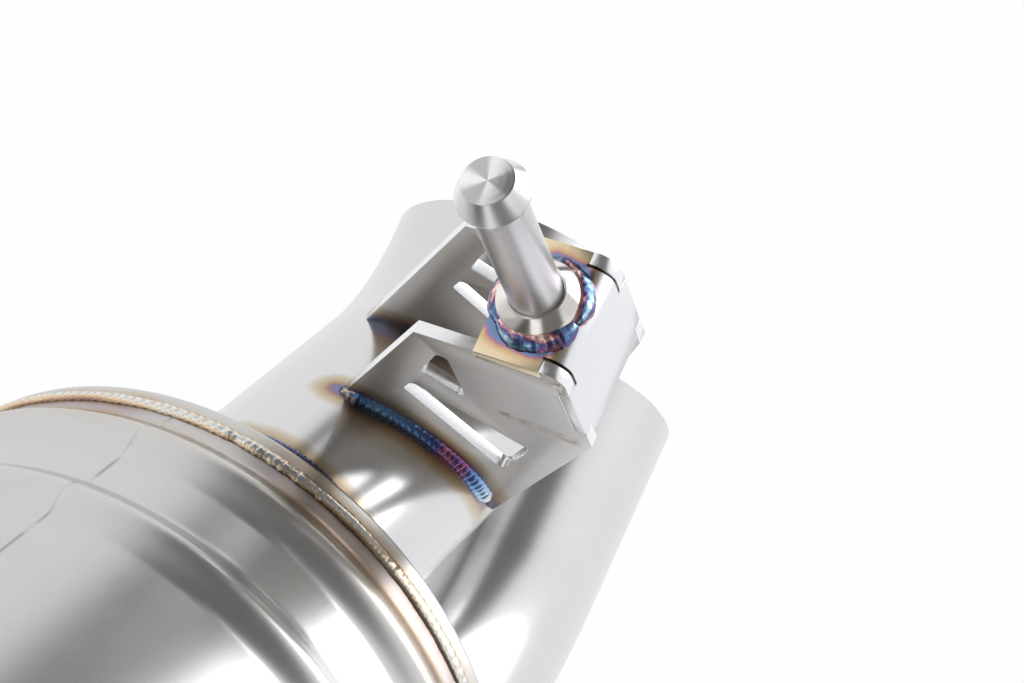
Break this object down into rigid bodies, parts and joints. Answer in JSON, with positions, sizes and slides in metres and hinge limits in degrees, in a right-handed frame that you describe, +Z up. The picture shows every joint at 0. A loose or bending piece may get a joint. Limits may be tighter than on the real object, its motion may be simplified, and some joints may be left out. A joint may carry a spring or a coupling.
{
  "type": "cat-back exhaust system",
  "caption": "Cat-back car exhaust: flanged front pipe, resonator, angled round muffler, twin open tail pipes and a plate hanger bracket with a turned pin.",
  "frame": {"origin": "centre of the inlet flange's front face, on the pipe axis", "axes": "+Y along the system to the back of the car, +Z up, +X to the side the muffler is turned toward"},
  "size_m": [0.541, 1.7526, 0.1785],
  "materials": {
    "pipe": "brushed stainless tube",
    "can": "satin stainless sheet",
    "weld": "heat-tinted weld bead",
    "bracket": "laser-cut stainless plate",
    "turned": "turned stainless bar",
    "flange": "machined stainless plate",
    "fastener": "stainless hardware",
    "packing": "glass fibre packing"
  },
  "bodies": {
    "front_section": {"inlet_flange": "flange", "inlet_flange_weld": "weld", "front_pipe": "pipe", "front_hanger_rod": "turned", "front_hanger_weld": "weld"},
    "front_clamp": {"front_clamp_band": "fastener", "front_clamp_bolt": "fastener", "front_clamp_bolt_block": "fastener", "front_clamp_nut": "fastener", "front_clamp_nut_block": "fastener"},
    "resonator_section": {"resonator_core": "pipe", "resonator_front_cap": "can", "resonator_front_seam_weld": "weld", "resonator_front_weld": "weld", "resonator_inlet_pipe": "pipe", "resonator_packing": "packing", "resonator_rear_cap": "can", "resonator_rear_seam_weld": "weld", "resonator_rear_weld": "weld", "resonator_shell": "can", "mid_pipe": "pipe"},
    "rear_clamp": {"rear_clamp_band": "fastener", "rear_clamp_bolt": "fastener", "rear_clamp_bolt_block": "fastener", "rear_clamp_nut": "fastener", "rear_clamp_nut_block": "fastener"},
    "rear_section": {"bracket_cross_plate": "bracket", "bracket_far_plate": "bracket", "bracket_far_weld": "weld", "bracket_near_plate": "bracket", "bracket_near_weld": "weld", "hanger_pin": "turned", "hanger_pin_collar": "turned", "hanger_pin_weld": "weld", "left_tail_pipe": "pipe", "left_tail_weld": "weld", "muffler_front_baffle": "can", "muffler_front_cap": "can", "muffler_front_seam_weld": "weld", "muffler_inlet_core": "pipe", "muffler_inlet_pipe": "pipe", "muffler_inlet_weld": "weld", "muffler_left_core": "pipe", "muffler_packing": "packing", "muffler_rear_baffle": "can", "muffler_rear_cap": "can", "muffler_rear_seam_weld": "weld", "muffler_right_core": "pipe", "muffler_shell": "can", "right_tail_pipe": "pipe", "right_tail_weld": "weld"}
  },
  "joints": [
    {"name": "front_slip_slide", "type": "slide", "parent": "front_section", "child": "resonator_section", "axis": [0, 1, 0], "range_m": [0, 0.025]},
    {"name": "front_clamp_turn", "type": "hinge", "parent": "resonator_section", "child": "front_clamp", "pos_m": [0, 0.32822, 0.03755], "axis": [0, 1, 0], "continuous": true},
    {"name": "rear_slip_turn", "type": "hinge", "parent": "resonator_section", "child": "rear_section", "pos_m": [0, 1.13222, 0.03755], "axis": [0, 1, 0], "range_deg": [-15, 15]},
    {"name": "rear_clamp_turn", "type": "hinge", "parent": "rear_section", "child": "rear_clamp", "pos_m": [0, 1.13222, 0.03755], "axis": [0, 1, 0], "continuous": true}
  ]
}
